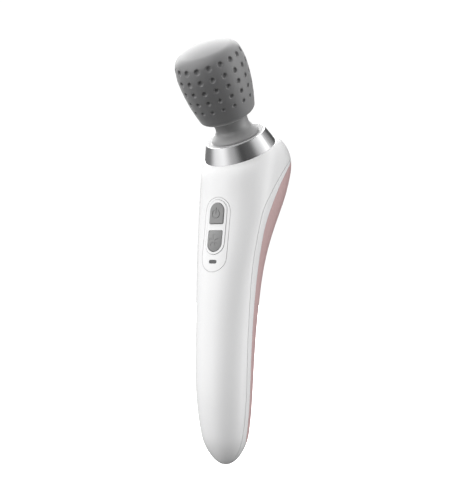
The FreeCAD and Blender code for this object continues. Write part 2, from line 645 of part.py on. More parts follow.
def station_wire(index, inset):
    values = [size("station%d_%s" % (index, f)) for f in STATION_FIELDS]
    front_y, front_z, rear_y, rear_z, half_width, widest, front_power, rear_power = values
    front = Vector(0, front_y, front_z)
    across = Vector(0, rear_y, rear_z).sub(front)
    length = across.Length
    across.normalize()
    up = Vector(1, 0, 0).cross(across)
    shift = inset * (FOOT_LIFT.get(index, 0) - TOP_DROP.get(index, 0)) if inset > 0 else 0
    inset *= FOOT_SHARE.get(index, 1.0)
    centre = front + across * (widest * length) + up * shift
    points = []
    count = 32
    for k in range(count):
        angle = 2 * math.pi * k / count
        c, s = math.cos(angle), math.sin(angle)
        power = rear_power if s > 0 else front_power
        reach = ((1 - widest) if s > 0 else widest) * length - inset
        x = (half_width - inset) * math.copysign(abs(c) ** (2 / power), c)
        y = reach * math.copysign(abs(s) ** (2 / power), s)
        points.append(centre + Vector(x, 0, 0) + across * y)
    ring = Part.BSplineCurve()
    ring.interpolate(points, PeriodicFlag=True)
    return Part.Wire([ring.toShape()])


SKINS = {}


def skin(inset):
    # the solid inside the handle's surface moved inwards by inset
    key = round(inset, 3)
    if key not in SKINS:
        wires = [station_wire(i, inset) for i in range(LAST + 1)]
        SKINS[key] = Part.makeLoft(wires, True, False, False, 5)
    return SKINS[key]


def line_points(name, line):
    return [Vector(0, size("%s%d_y" % (name, i)), size("%s%d_z" % (name, i))) for i in range(len(line))]


def seam_at(z):
    points = line_points("seam", SEAM)
    for a, b in zip(points, points[1:]):
        if a.z <= z <= b.z:
            return a.y + (b.y - a.y) * (z - a.z) / (b.z - a.z)
    return points[0].y


def behind(points, shift, corners):
    # everything on the rear side of a line in the side view, the line moved back square to itself
    moved = []
    for i, point in enumerate(points):
        along = points[min(i + 1, len(points) - 1)] - points[max(i - 1, 0)]
        along.normalize()
        moved.append(point + Vector(-70, shift * along.z, -shift * along.y))
    curve = Part.BSplineCurve()
    curve.interpolate(moved)
    rest = [Vector(-70, y, z) for y, z in corners]
    chain = [moved[-1]] + rest + [moved[0]]
    edges = [curve.toShape()]
    edges += [Part.LineSegment(a, b).toShape() for a, b in zip(chain, chain[1:])]
    return Part.Face(Part.Wire(edges)).extrude(Vector(140, 0, 0))


def behind_seam(shift):
    return behind(line_points("seam", SEAM), shift, [(120, 233.5), (120, -6)])


def behind_edge(shift):
    # the cover's foot is square with a rounded corner
    foot = size("cover_foot_z") + shift
    start = line_points("edge", COVER_EDGE)[0]
    return behind(line_points("edge", COVER_EDGE), shift,
                  [(120, 230.5), (120, foot), (start.y + shift + 3.2, foot),
                   (start.y + shift + 1.0, foot + 1.5)])


def cylinder(radius, start, direction, length):
    return Part.makeCylinder(radius, length, start, direction)


def band(low, high):
    return Part.makeBox(160, 200, high - low, Vector(-80, -80, low))


def slab_ribs(heights, inner, side):
    # flat ribs across the handle that carry the cells
    ribs = []
    for z in heights:
        ribs.append(inner.common(band(z, z + size("rib_wall"))).common(side))
    return ribs


def cells(grow):
    radius = size("cell_radius") + grow
    low = cylinder(radius, Vector(0, size("low_cell_y"), size("low_cell_z") - grow), Vector(0, 0, 1),
                   size("cell_length") + 2 * grow)
    tilted = Part.makeCylinder(radius, size("cell_length") + 2 * grow, Vector(0, 0, -grow))
    tilted.Placement = CELL
    return low.fuse(tilted)


def panel_prism(wire, low, high):
    # a prism square to the control panel, between two depths below its plane
    face = Part.Face(wire)
    solid = face.extrude(Vector(0, 0, high - low))
    solid.Placement = PANEL.multiply(Placement(Vector(0, 0, -high), Rotation()))
    return solid


def stadium(half_width, low, high):
    a, b = low + half_width, high - half_width
    edges = [
        Part.LineSegment(Vector(half_width, a, 0), Vector(half_width, b, 0)).toShape(),
        Part.Arc(Vector(half_width, b, 0), Vector(0, high, 0), Vector(-half_width, b, 0)).toShape(),
        Part.LineSegment(Vector(-half_width, b, 0), Vector(-half_width, a, 0)).toShape(),
        Part.Arc(Vector(-half_width, a, 0), Vector(0, low, 0), Vector(half_width, a, 0)).toShape()]
    return Part.Wire(edges)


def lens_wire(grow):
    w, half = size("lens_half_width") + grow, size("lens_half_height") + grow
    y = size("lens_y")
    edges = [
        Part.LineSegment(Vector(-w + half, y - half, 0), Vector(w - half, y - half, 0)).toShape(),
        Part.Arc(Vector(w - half, y - half, 0), Vector(w, y, 0), Vector(w - half, y + half, 0)).toShape(),
        Part.LineSegment(Vector(w - half, y + half, 0), Vector(-w + half, y + half, 0)).toShape(),
        Part.Arc(Vector(-w + half, y + half, 0), Vector(-w, y, 0),
                 Vector(-w + half, y - half, 0)).toShape()]
    return Part.Wire(edges)


def button_wire(low, arch_up, grow):
    # an arch over a square end with small corners
    w = size("button_half_width")
    length = size("button_length")
    r = size("button_corner")
    lower = low if arch_up else -(low + length)
    w, lower, top, r = w + grow, lower - grow, lower + length + grow, r + grow
    side = top - w
    k = r * (1 - math.sqrt(0.5))
    flip = 1 if arch_up else -1
    pts = [Vector(x, y * flip, 0) for x, y in (
        (-w + r, lower), (w - r, lower), (w - k, lower + k), (w, lower + r), (w, side), (0, top),
        (-w, side), (-w, lower + r), (-w + k, lower + k))]
    edges = [
        Part.LineSegment(pts[0], pts[1]).toShape(), Part.Arc(pts[1], pts[2], pts[3]).toShape(),
        Part.LineSegment(pts[3], pts[4]).toShape(), Part.Arc(pts[4], pts[5], pts[6]).toShape(),
        Part.LineSegment(pts[6], pts[7]).toShape(), Part.Arc(pts[7], pts[8], pts[0]).toShape()]
    return Part.Wire(edges)


def button_wires(grow):
    return [button_wire(size("power_low"), True, grow), button_wire(size("mode_low"), False, grow)]


def feature(name, shape):
    obj = doc.addObject("Part::Feature", name)
    obj.Shape = shape
    obj.Placement = Placement()
    return keep(obj, name)


def one_solid(shape, name):
    # the largest solid of a boolean's result; splinters would be a fault
    solids = sorted(shape.Solids, key=lambda s: s.Volume)
    total = sum(s.Volume for s in solids)
    if total - solids[-1].Volume > 0.5:
        print("%s: dropped %.2f mm3 in %d pieces" % (name, total - solids[-1].Volume, len(solids) - 1))
    return solids[-1]


def housings():
    outer = skin(0)
    front_inner = skin(size("front_wall"))
    seam_gap = size("seam_gap")
    tongue_inset, tongue_depth = size("tongue_inset"), size("tongue_depth")
    above_foot = band(12, 300)
    axis_up = AXIS.Rotation.multVec(Vector(0, 0, 1))
    opening = cylinder(size("deck_opening"), AXIS.multVec(Vector(0, 0, -40)), axis_up, 60)
    port = cylinder(size("port_bezel_radius") + 0.05, Vector(0, 0, -1), Vector(0, 0, 1), 9)
    port = port.fuse(cylinder(size("port_flange_radius") + 0.05, Vector(0, 0, 3.95), Vector(0, 0, 1), 1.6))
    socket_half = size("socket_side") / 2 + 0.1
    corner = Vector(-socket_half, -socket_half, 7.0)
    port = port.fuse(Part.makeBox(2 * socket_half, 2 * socket_half, 13.2, corner))
    cell_room = cells(size("cell_clearance"))

    # front half: wall, tongue along the seam, bosses, ribs, panel recess
    shell = outer.cut(front_inner)
    front = shell.cut(behind_seam(0))
    tongue = skin(tongue_inset).cut(front_inner).common(behind_seam(-1.0)).cut(behind_seam(tongue_depth))
    front = front.fuse(tongue.common(above_foot))
    overlap = skin(1.8)
    additions = []
    for x, z in screw_points():
        boss = cylinder(size("screw_boss"), Vector(x, -60, z), Vector(0, 1, 0), 60 + seam_at(z) - 0.9)
        additions.append(boss.common(overlap))
    for x in (size("board_screw_x"), -size("board_screw_x")):
        for y in (size("board_screw_low"), size("board_screw_high")):
            post = Part.makeCylinder(size("board_boss"), 14, Vector(x, y, -size("board_depth") + 0.05))
            post.Placement = PANEL
            additions.append(post.common(overlap))
    additions += slab_ribs((34, 74, 102, 126), overlap, outer.cut(behind_seam(-0.6)))
    front = front.fuse(additions)
    cuts = [opening, port, cell_room]
    for x, z in screw_points():
        cuts.append(cylinder(size("screw_pilot"), Vector(x, seam_at(z) - 7.5, z), Vector(0, 1, 0), 12))
    for x in (size("board_screw_x"), -size("board_screw_x")):
        for y in (size("board_screw_low"), size("board_screw_high")):
            pilot = Part.makeCylinder(1.0, 5.6, Vector(x, y, -size("board_depth") - 0.5))
            pilot.Placement = PANEL
            cuts.append(pilot)
    recess = outer.cut(skin(size("panel_wall") + 0.1))
    gap = size("panel_gap")
    edge = stadium(size("panel_half_width") + gap, size("panel_low") - gap, size("panel_high") + gap)
    cuts.append(recess.common(panel_prism(edge, -6, 8)))
    for wire in button_wires(size("button_gap") + 0.05):
        cuts.append(panel_prism(wire, -6, 9))
    cuts.append(panel_prism(lens_wire(0.06), -6, 9))
    front = one_solid(front.cut(cuts), "front_housing")
    feature("front_housing", front)

    # rear half: thinner where the cover lies, with a second layer of wall inside
    rear = shell.common(behind_seam(seam_gap))
    under_cover = skin(size("cover_recess"))
    rear = rear.fuse(under_cover.cut(skin(size("rear_wall"))).common(behind_edge(-1.4)))
    rear = rear.cut([outer.cut(under_cover).common(behind_edge(-0.15)),
                     skin(tongue_inset - 0.12).cut(behind_seam(tongue_depth + 0.12)).common(above_foot)])
    additions = []
    for x, z in screw_points():
        boss = cylinder(size("rear_boss"), Vector(x, seam_at(z) - 0.6, z), Vector(0, 1, 0), 90)
        additions.append(boss.common(skin(2.6)))
    additions += slab_ribs((38, 78, 106, 140), skin(2.6), outer.common(behind_seam(2.2)))
    rear = rear.fuse(additions)
    cuts = [opening, port, cell_room]
    for x, z in screw_points():
        cuts.append(cylinder(size("screw_pilot") + 0.1, Vector(x, seam_at(z) - 2, z), Vector(0, 1, 0), 12))
        cuts.append(cylinder(size("screw_bore"), Vector(x, seam_at(z) + 3.8, z), Vector(0, 1, 0), 90))
    rear = one_solid(rear.cut(cuts), "rear_housing")
    feature("rear_housing", rear)

    cover = outer.cut(skin(size("cover_wall"))).common(behind_edge(0))
    feature("rear_cover", one_solid(cover, "rear_cover"))


# --------------------------------------------------------------------------------------
# Control panel: inlay, bezel, two sliding buttons and the lamp window
# --------------------------------------------------------------------------------------
def control_panel():
    outer = skin(0)
    under = skin(size("panel_wall"))
    edge = stadium(size("panel_half_width"), size("panel_low"), size("panel_high"))
    gap = size("bezel_gap")
    oval_gap = stadium(size("bezel_half_width") + gap, size("bezel_low") - gap, size("bezel_high") + gap)
    inlay = outer.cut(under).common(panel_prism(edge, -6, 8))
    inlay = inlay.cut([panel_prism(oval_gap, -6, 8), panel_prism(lens_wire(0.06), -6, 8)])
    feature("control_panel", one_solid(inlay, "control_panel"))

    oval = stadium(size("bezel_half_width"), size("bezel_low"), size("bezel_high"))
    bezel = skin(-size("bezel_proud")).cut(under).common(panel_prism(oval, -6, 8))
    bezel = bezel.cut([panel_prism(w, -6, 8) for w in button_wires(size("button_gap"))])
    feature("button_bezel", one_solid(bezel, "button_bezel"))

    flange_top = size("flange_top")
    flange_low = flange_top + size("flange_wall")
    switch_top = size("board_depth") - size("switch_body") - size("switch_stem")
    stem_low = switch_top - size("button_travel") - 0.05
    for name, low, up in (("power_button", "power_low", True), ("mode_button", "mode_low", False)):
        middle = size(low) + size("button_length") / 2
        outline = button_wire(size(low), up, 0)
        cap = skin(-size("button_proud")).common(panel_prism(outline, -8, flange_top + 0.3))
        flange = panel_prism(button_wire(size(low), up, size("flange_grow")), flange_top, flange_low)
        stem = Part.makeCylinder(1.8, stem_low - flange_top, Vector(0, middle, -stem_low))
        stem.Placement = PANEL
        button = cap.fuse([flange, stem]).removeSplitter()
        rim = [e for e in button.Edges if on_skin_edge(e, size("button_proud"))]
        try:
            softened = button.makeFillet(0.5, rim)
            if softened.isValid():
                button = softened
        except Part.OCCError:
            print(name, "keeps its sharp rim")
        feature(name, one_solid(button, name))

    lens = outer.cut(skin(2.3)).common(panel_prism(lens_wire(0), -6, 8))
    pipe_low = size("board_depth") - 1.3
    pipe = Part.makeBox(3.6, 1.5, pipe_low - 1.5, Vector(-1.8, size("lens_y") - 0.75, -pipe_low))
    pipe.Placement = PANEL
    feature("led_window", one_solid(lens.fuse(pipe), "led_window"))


def on_skin_edge(edge, proud):
    # edges of a button's outer face: every point stands near the raised surface
    back = PANEL.inverse()
    first, last = edge.FirstParameter, edge.LastParameter
    heights = [back.multVec(edge.valueAt(first + t * (last - first))).z for t in (0.0, 0.3, 0.6, 1.0)]
    return min(heights) > proud - 1.4


# --------------------------------------------------------------------------------------
# Electronics
# --------------------------------------------------------------------------------------
def electronics():
    back = ("-board_depth", "-board_wall")
    board = new_body("main_board", PANEL)
    pad(board, "laminate", rectangle("-board_half_width", "board_low", "board_half_width", "board_high"),
        back, "board_wall")
    for i, (x, y) in enumerate((x, y) for x in ("board_screw_x", "-board_screw_x")
                               for y in ("board_screw_low", "board_screw_high")):
        circle_cut(board, "hole%d" % i, x, y, 1.15, ("-board_depth", 0.5), 3.0)
    keep(board, "main_board")

    half = 0.5 * size("switch_side")
    master = new_body("switch")
    pad(master, "switch_body", rectangle(-half, -half, half, half), 0, "switch_body")
    sketch = new_sketch(master, "plunger_outline", "XY_Plane", "switch_body")
    c = sketch.addGeometry(Part.Circle(Vector(0, 0, 0), Vector(0, 0, 1), size("switch_stem_radius")))
    sketch.addConstraint(Sketcher.Constraint("Coincident", c, 3, -1, 1))
    k = sketch.addConstraint(Sketcher.Constraint("Radius", c, size("switch_stem_radius")))
    sketch.setExpression("Constraints[%d]" % k, formula("switch_stem_radius"))
    plunger = master.newObject("PartDesign::Pad", "plunger")
    plunger.Profile = sketch
    plunger.setExpression("Length", formula("switch_stem"))
    middles = [size(k) + size("button_length") / 2 for k in ("power_low", "mode_low")]
    board_top = -size("board_depth")
    group("tact_switches", master, [PANEL.multiply(Placement(Vector(0, y, board_top), Rotation()))
                                    for y in middles])

    lamp = new_body("status_led", PANEL)
    y = size("lens_y")
    pad(lamp, "lamp", rectangle(-1.6, y - 0.8, 1.6, y + 0.8), "-board_depth", 1.0)
    keep(lamp, "status_led")

    chip = new_body("chip")
    pad(chip, "package", rectangle(-3.5, -3.5, 3.5, 3.5), 0, 1.5)
    under = -size("board_depth") - size("board_wall") - 1.5
    group("board_chips", chip, [PANEL.multiply(Placement(Vector(x, y, under), Rotation()))
                                for x, y in ((0.0, 16.0), (-5.0, 2.0), (5.5, 2.0))])


def battery_cell(name, place):
    # a steel can in a sleeve, with a raised contact at the top
    r = "cell_radius"
    body = turned(name, [
        (0, 0), (6.4, 0), (6.4, 0.3), ((r, -0.5), 0.3), (r, 0.8), (r, ("cell_length", -2.2)),
        ((r, -0.45), ("cell_length", -1.9)), ((r, -0.45), ("cell_length", -1.2)),
        ((r, -0.9), ("cell_length", -0.8)),
        (3.6, ("cell_length", -0.8)), (3.2, "cell_length"), (0, "cell_length")], place)
    return keep(body, name)


def batteries():
    battery_cell("battery_lower", Placement(Vector(0, size("low_cell_y"), size("low_cell_z")), Rotation()))
    battery_cell("battery_upper", CELL)
    # nickel strip between the two cells, folded where the stack bends
    low_top = size("low_cell_z") + size("cell_length")
    strip = new_body("battery_link", Placement(Vector(0, size("low_cell_y"), low_top + 0.02), Rotation()))
    pad(strip, "strip", rectangle(-3.0, -3.0, 3.0, 5.2), 0, 0.15)
    keep(strip, "battery_link")


def charging_port():
    bezel = turned("port_bezel", [
        ("port_radius", 0), (("port_bezel_radius", -0.6), 0), ("port_bezel_radius", 0.7),
        ("port_bezel_radius", 4.0), ("port_flange_radius", 4.0), ("port_flange_radius", 5.5),
        ("port_bezel_radius", 5.5), ("port_bezel_radius", "port_bezel_length"),
        ("port_radius", "port_bezel_length")])
    keep(bezel, "port_bezel")
    socket = new_body("charge_socket")
    half = 0.5 * size("socket_side")
    base = ("port_bezel_length", 0.05)
    pad(socket, "block", rectangle(-half, -half, half, half), base, "socket_length")
    circle_cut(socket, "bore", 0, 0, ("port_radius", 0.5), (base, 9.5), 9.6)
    circle_cut(socket, "pin_seat", 0, 0, ("pin_radius", 0.02), (base, "socket_length", 0.5), 6.0)
    keep(socket, "charge_socket")
    pin = turned("socket_pin", [
        (0, ("port_bezel_length", 1.3)), ("pin_radius", ("port_bezel_length", 1.9)),
        ("pin_radius", ("port_bezel_length", "socket_length", 1.4)),
        (0, ("port_bezel_length", "socket_length", 1.4))])
    keep(pin, "socket_pin")


# --------------------------------------------------------------------------------------
# Build, check, write
# --------------------------------------------------------------------------------------
head_cover()
head_core()
head_works()
neck()
collar()
motor()
screws()
housings()
control_panel()
electronics()
batteries()
charging_port()
doc.recompute()

faults = []
for obj in doc.Objects:
    if "Invalid" in obj.State or "Error" in obj.State:
        faults.append("%s: %s" % (obj.Name, obj.State))
for obj in SUBPARTS:
    shape = obj.Shape
    if shape.isNull() or not shape.isValid() or shape.Volume <= 0:
        faults.append("%s: bad shape" % obj.Label)
if faults:
    raise RuntimeError("; ".join(faults))

for obj in SUBPARTS:
    obj.Shape.exportStep("parts/%s.step" % obj.Label)
    print("%-20s %9.1f mm3 %d solid(s)" % (obj.Label, obj.Shape.Volume, len(obj.Shape.Solids)))
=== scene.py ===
import json
import math

import bpy
import numpy as np
from mathutils import Matrix, Vector
from mathutils.bvhtree import BVHTree


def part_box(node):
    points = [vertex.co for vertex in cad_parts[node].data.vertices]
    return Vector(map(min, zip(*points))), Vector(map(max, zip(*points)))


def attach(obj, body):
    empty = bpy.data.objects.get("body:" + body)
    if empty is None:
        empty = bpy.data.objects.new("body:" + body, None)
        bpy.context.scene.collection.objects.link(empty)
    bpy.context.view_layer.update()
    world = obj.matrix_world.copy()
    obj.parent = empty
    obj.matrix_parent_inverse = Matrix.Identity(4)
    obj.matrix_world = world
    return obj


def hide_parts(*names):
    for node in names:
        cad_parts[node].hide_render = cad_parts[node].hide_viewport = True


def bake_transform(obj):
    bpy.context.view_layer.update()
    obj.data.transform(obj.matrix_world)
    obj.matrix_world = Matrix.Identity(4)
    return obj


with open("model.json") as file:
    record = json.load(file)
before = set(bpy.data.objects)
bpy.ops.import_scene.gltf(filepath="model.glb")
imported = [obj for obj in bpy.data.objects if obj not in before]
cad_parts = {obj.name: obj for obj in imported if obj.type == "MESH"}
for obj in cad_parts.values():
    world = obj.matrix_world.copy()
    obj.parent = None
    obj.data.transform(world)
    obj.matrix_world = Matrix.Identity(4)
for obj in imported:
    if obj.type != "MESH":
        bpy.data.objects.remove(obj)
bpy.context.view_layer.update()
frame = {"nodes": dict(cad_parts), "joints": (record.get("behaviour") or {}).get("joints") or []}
nodes = frame["nodes"]
joints = {j["name"]: j for j in frame["joints"]}
MM = 0.001
SIDE = Vector((1, 0, 0))


def smoothstep(low, high, x):
    t = np.clip((x - low) / (high - low), 0, 1)
    return t * t * (3 - 2 * t)


# --------------------------------------------------------------------------------------
# Reference lines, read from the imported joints
# --------------------------------------------------------------------------------------
def facing(line, component):
    # the unit vector along a line, on the side where that component is positive
    line = line.normalized()
    if getattr(line, component) < 0:
        line.negate()
    return line


PIVOT_HEIGHT = 7.5                                  # of the neck's pivot over the collar, in millimetres
UP = facing(SIDE.cross(Vector(joints["neck_side"]["axis"])), "z")       # the leaning axis of collar and neck
REAR = facing(UP.cross(SIDE), "y")                  # across that axis, towards the rear
PIVOT = Vector(joints["neck_pitch"]["pos_m"])
COLLAR = PIVOT - UP * (PIVOT_HEIGHT * MM)           # centre of the collar's top edge
HEAD_UP = facing(Vector(joints["eccentric_spin"]["axis"]), "z")         # the head leans a little further
HEAD_REAR = facing(HEAD_UP.cross(SIDE), "y")
LEAN = UP.angle(HEAD_UP)
INWARD = Vector(joints["power_press"]["axis"]).normalized()             # the way the keys are pressed
OUTWARD = -INWARD
PANEL_UP = facing(OUTWARD.cross(SIDE), "z")
BEND_HEIGHTS = (1.0, 14.0)                          # the boot turns from one axis to the other between these


def on_axis(radius, angle, height):
    # a point about the leaning axis, in millimetres and radians; angle 0 is +X
    across = SIDE * math.cos(angle) + REAR * math.sin(angle)
    return COLLAR + UP * (height * MM) + across * (radius * MM)


def on_head(radius, angle, height):
    # the same about the head's axis, which crosses the other one at the pivot
    across = SIDE * math.cos(angle) + HEAD_REAR * math.sin(angle)
    return PIVOT + HEAD_UP * ((height - PIVOT_HEIGHT) * MM) + across * (radius * MM)


def on_boot(radius, angle, height):
    # the same about the boot's middle line, which bends from one axis to the other about the pivot
    turn = Matrix.Rotation(LEAN * smoothstep(*BEND_HEIGHTS, height), 3, "X")
    return PIVOT + turn @ (on_axis(radius, angle, height) - PIVOT)


# --------------------------------------------------------------------------------------
# Camera, light and floor
# --------------------------------------------------------------------------------------
AZIMUTH = math.radians(36.0)                        # of the camera, round from the front
TARGET = Vector((5.0, 2.1, 155.4)) * MM
DISTANCE = 0.828
LENS, SENSOR = 81.9, 36.0                           # millimetres

# strength of the light by its bearing from the camera in degrees, near the ground and high up
LOW_LIGHT = [(-180, 0.2), (-120, 0.5), (-86, 2.6), (-62, 3.2), (-30, 1.2), (0, 0.02),
             (32, 0.05), (60, 1.9), (86, 4.2), (112, 1.0), (150, 0.05), (180, 0.2)]
HIGH_LIGHT = [(-180, 0.2), (-120, 0.5), (-86, 2.1), (-60, 3.0), (-30, 3.0), (0, 1.0),
              (30, 0.5), (60, 1.9), (86, 3.6), (112, 0.9), (150, 0.1), (180, 0.2)]
TOP_LIGHT = 0.9                                     # from straight up
FLOOR_LIGHT = 0.05                                  # from below
FULL_LIGHT = 6.0                                    # the strength that a colour of 1 stands for
EXPOSURE = 0.735

# heights (sine of the elevation) between which one light fades into the next
FLOOR_TO_SIDES = (-0.72, -0.02)
LOW_TO_HIGH = (-0.05, 0.5)
SIDES_TO_TOP = (0.55, 0.98)

# one more soft panel, high behind the object: strength, bearing, elevation, cosines at its rim and core
BACK_PANEL, BACK_BEARING, BACK_ELEVATION = 5.6, -158, 50
BACK_SPREAD = (0.68, 0.95)

BACKDROP = 1.05                                     # what the camera sees behind the object
FLOOR_HALF, FLOOR_LEVEL = 3.0, -0.06


def make_camera():
    data = bpy.data.cameras.new("camera")
    data.lens = LENS
    data.sensor_width = SENSOR
    data.clip_end = 50
    camera = bpy.data.objects.new("camera", data)
    bpy.context.scene.collection.objects.link(camera)
    camera.location = TARGET + Vector((math.sin(AZIMUTH), -math.cos(AZIMUTH), 0)) * DISTANCE
    camera.rotation_euler = (TARGET - camera.location).to_track_quat("-Z", "Y").to_euler()
    bpy.context.scene.camera = camera


def grey(value):
    return value, value, value, 1


def bearing_ramp(tree, source, stops):
    # a smooth run of light over a 0 to 1 input, which stands for -180 to 180 degrees
    node = tree.nodes.new("ShaderNodeValToRGB")
    node.color_ramp.interpolation = "EASE"
    while len(node.color_ramp.elements) < len(stops):
        node.color_ramp.elements.new(0.5)
    for element, (bearing, strength) in zip(node.color_ramp.elements, stops):
        element.position = (bearing + 180) / 360
        element.color = grey(strength / FULL_LIGHT)
    tree.links.new(source, node.inputs[0])
    return node.outputs["Color"]


def smooth_span(tree, source, edges):
    # 0 up to the first edge, 1 from the second on
    node = tree.nodes.new("ShaderNodeMapRange")
    node.interpolation_type = "SMOOTHSTEP"
    node.inputs["From Min"].default_value, node.inputs["From Max"].default_value = edges
    tree.links.new(source, node.inputs["Value"])
    return node.outputs[0]


def mix_lights(tree, factor, first, second):
    # each light is a socket or a plain strength
    node = tree.nodes.new("ShaderNodeMix")
    node.data_type = "RGBA"
    tree.links.new(factor, node.inputs["Factor"])
    for socket, light in ((node.inputs["A"], first), (node.inputs["B"], second)):
        if isinstance(light, float):
            socket.default_value = grey(light / FULL_LIGHT)
        else:
            tree.links.new(light, socket)
    return node.outputs["Result"]


def direction_nodes(tree):
    # the world's direction turned to the camera's bearing, its height, and its bearing as 0 to 1
    add, link = tree.nodes.new, tree.links.new
    coords = add("ShaderNodeTexCoord")
    turn = add("ShaderNodeVectorRotate")
    turn.rotation_type = "Z_AXIS"
    turn.inputs["Angle"].default_value = -AZIMUTH
    link(coords.outputs["Generated"], turn.inputs["Vector"])
    split = add("ShaderNodeSeparateXYZ")
    link(turn.outputs[0], split.inputs[0])
    flip = add("ShaderNodeMath")
    flip.operation = "MULTIPLY"
    flip.inputs[1].default_value = -1.0
    link(split.outputs["Y"], flip.inputs[0])
    bearing = add("ShaderNodeMath")
    bearing.operation = "ARCTAN2"
    link(split.outputs["X"], bearing.inputs[0])
    link(flip.outputs[0], bearing.inputs[1])
    spread = add("ShaderNodeMapRange")
    spread.inputs["From Min"].default_value = -math.pi
    spread.inputs["From Max"].default_value = math.pi
    link(bearing.outputs[0], spread.inputs["Value"])
    return turn.outputs[0], split.outputs["Z"], spread.outputs[0]


def make_world():
    # a studio: tall soft panels to the left and right, a grey gap beside the camera, a soft top
    world = bpy.data.worlds.new("studio")
    bpy.context.scene.world = world
    world.use_nodes = True
    tree = world.node_tree
    tree.nodes.clear()
    add, link = tree.nodes.new, tree.links.new
    direction, height, bearing = direction_nodes(tree)
    low = bearing_ramp(tree, bearing, LOW_LIGHT)
    high = bearing_ramp(tree, bearing, HIGH_LIGHT)
    light = mix_lights(tree, smooth_span(tree, height, LOW_TO_HIGH), low, high)
    light = mix_lights(tree, smooth_span(tree, height, SIDES_TO_TOP), light, TOP_LIGHT)
    light = mix_lights(tree, smooth_span(tree, height, FLOOR_TO_SIDES), FLOOR_LIGHT, light)
    away, rise = math.radians(BACK_BEARING), math.radians(BACK_ELEVATION)
    towards = add("ShaderNodeVectorMath")
    towards.operation = "DOT_PRODUCT"
    towards.inputs[1].default_value = (math.sin(away) * math.cos(rise), -math.cos(away) * math.cos(rise),
                                       math.sin(rise))
    link(direction, towards.inputs[0])
    light = mix_lights(tree, smooth_span(tree, towards.outputs["Value"], BACK_SPREAD), light, BACK_PANEL)
    studio = add("ShaderNodeBackground")
    studio.inputs["Strength"].default_value = FULL_LIGHT * EXPOSURE
    link(light, studio.inputs["Color"])
    plain = add("ShaderNodeBackground")
    plain.inputs["Color"].default_value = grey(1)
    plain.inputs["Strength"].default_value = BACKDROP
    path = add("ShaderNodeLightPath")
    mix = add("ShaderNodeMixShader")
    link(path.outputs["Is Camera Ray"], mix.inputs[0])
    link(studio.outputs[0], mix.inputs[1])
    link(plain.outputs[0], mix.inputs[2])
    out = add("ShaderNodeOutputWorld")
    link(mix.outputs[0], out.inputs["Surface"])


def make_floor():
    # a plain white sheet under the object, lit evenly
    mesh = bpy.data.meshes.new("floor")
    corners = [(x * FLOOR_HALF, y * FLOOR_HALF, FLOOR_LEVEL) for x, y in ((-1, -1), (1, -1), (1, 1), (-1, 1))]
    mesh.from_pydata(corners, [], [(0, 1, 2, 3)])
    floor = bpy.data.objects.new("floor", mesh)
    bpy.context.scene.collection.objects.link(floor)
    paint = bpy.data.materials.new("floor_paint")
    paint.use_nodes = True
    shader = paint.node_tree.nodes["Principled BSDF"]
    shader.inputs["Base Color"].default_value = grey(0.9)
    shader.inputs["Roughness"].default_value = 0.9
    shader.inputs["Emission Color"].default_value = grey(1)
    shader.inputs["Emission Strength"].default_value = 1.0
    mesh.materials.append(paint)
    floor.visible_diffuse = False
    floor.visible_glossy = False
    floor.visible_shadow = False


# --------------------------------------------------------------------------------------
# Materials
# --------------------------------------------------------------------------------------
COAT_ROUGHNESS, SHEEN_ROUGHNESS = 0.12, 0.45

# "vary" is the spread of the colour; "grain" is a scale, and "grain_depth" is in metres
LOOKS = {
    "head_silicone": dict(colour=(0.165, 0.165, 0.168), rough=0.5, vary=0.04, grain=1500, grain_depth=0.000006,
                          specular=1.0, sheen=0.6),
    "neck_silicone": dict(colour=(0.25, 0.25, 0.252), rough=0.42, vary=0.03, grain=1500, grain_depth=0.000006,
                          specular=0.9, sheen=0.4),
    "key_rubber": dict(colour=(0.27, 0.27, 0.27), rough=0.5, vary=0.03, grain=2500, grain_depth=0.000006),
    "white_shell": dict(colour=(0.88, 0.88, 0.882), rough=0.26, rough_vary=0.03, vary=0.006, grain=3500,
                        grain_depth=0.0000006, coat=0.25),
    # painted shade: the collar's lip is the body's white plastic, given a darker colour to hold back the
    # strong top light on it
    "lip_white_painted_shade": dict(colour=(0.64, 0.64, 0.642), rough=0.45, vary=0.006, grain=3500, grain_depth=0.000001,
                      specular=0.12),
    "panel_white": dict(colour=(0.88, 0.88, 0.882), rough=0.3, vary=0.006, grain=3500, grain_depth=0.000001),
    "rose_shell": dict(colour=(0.62, 0.42, 0.415), rough=0.34, vary=0.02, grain=2500, grain_depth=0.000003,
                       sheen=0.1),
    "satin_chrome": dict(colour=(0.46, 0.46, 0.465), rough=0.23, rough_vary=0.02, metallic=1.0, vary=0.03,
                         grain=30, grain_depth=0.0000012, stretch=(4, 4, 900)),
    "dark_window": dict(colour=(0.035, 0.036, 0.04), rough=0.08, rough_vary=0.02, vary=0.1, grain=800,
                        grain_depth=0.000001, coat=0.5),
    "black_plastic": dict(colour=(0.035, 0.035, 0.037), rough=0.5, vary=0.15, grain=1200, grain_depth=0.00002),
    "steel": dict(colour=(0.58, 0.58, 0.59), rough=0.3, metallic=1.0, vary=0.05, grain=1200,
                  grain_depth=0.000004),
    "magnet": dict(colour=(0.06, 0.06, 0.065), rough=0.55, metallic=0.6, vary=0.2, grain=2500,
                   grain_depth=0.00003),
    "board": dict(colour=(0.015, 0.12, 0.05), rough=0.4, vary=0.25, vary_scale=400, grain=900,
                  grain_depth=0.00001),
    "cell_sleeve": dict(colour=(0.06, 0.16, 0.42), rough=0.32, vary=0.06, grain=700, grain_depth=0.00001,
                        coat=0.2),
    "brass": dict(colour=(0.78, 0.58, 0.25), rough=0.25, metallic=1.0, vary=0.06, grain=1500,
                  grain_depth=0.000003),
}

